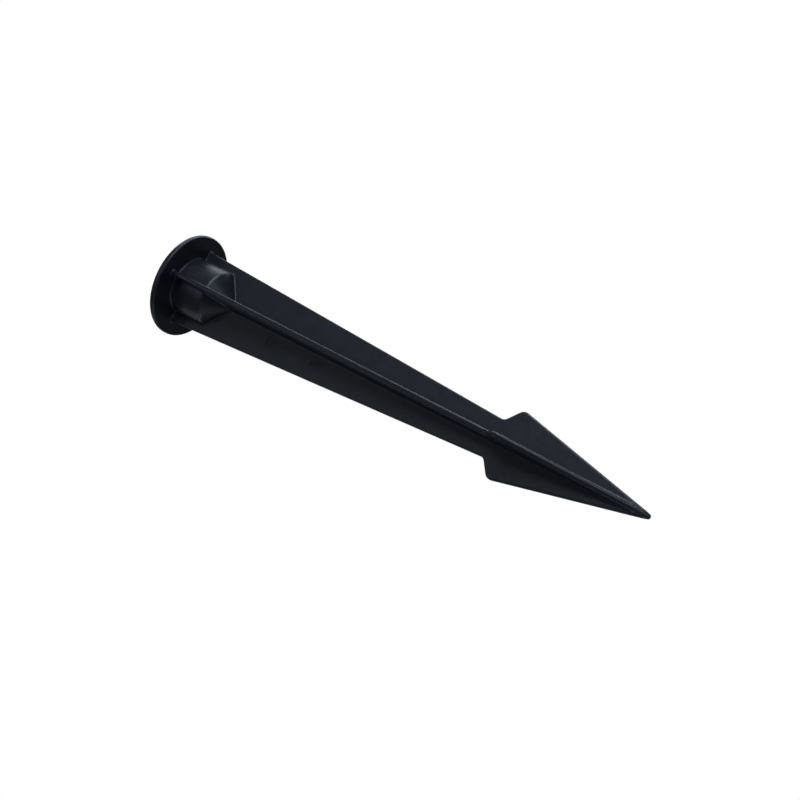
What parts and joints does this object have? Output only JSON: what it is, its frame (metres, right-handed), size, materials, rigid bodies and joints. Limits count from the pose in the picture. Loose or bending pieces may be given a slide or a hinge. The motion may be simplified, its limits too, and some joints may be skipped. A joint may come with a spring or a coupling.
{
  "type": "ground spike with pole socket",
  "caption": "Moulded plastic ground spike: round flange with a blind socket for a thin pole, over crossed tapering blades that end in a barbed, finned arrowhead.",
  "frame": {"origin": "centre of the socket's mouth, on the flange's top face", "axes": "+Z out of the socket, away from the point; +X and +Y each along a blade, -Y along the front blade"},
  "size_m": [0.0395, 0.0394, 0.2054],
  "materials": {
    "black_plastic": "satin black moulded plastic, faintly blue, with soft sheen on rounded edges"
  },
  "bodies": {
    "root": {"flange": "black_plastic", "socket_tube": "black_plastic", "socket_cone": "black_plastic", "spine": "black_plastic", "blade_right": "black_plastic", "blade_left": "black_plastic", "blade_front": "black_plastic", "blade_back": "black_plastic", "barb_right": "black_plastic", "barb_left": "black_plastic", "barb_front": "black_plastic", "barb_back": "black_plastic", "tip": "black_plastic"}
  },
  "joints": []
}
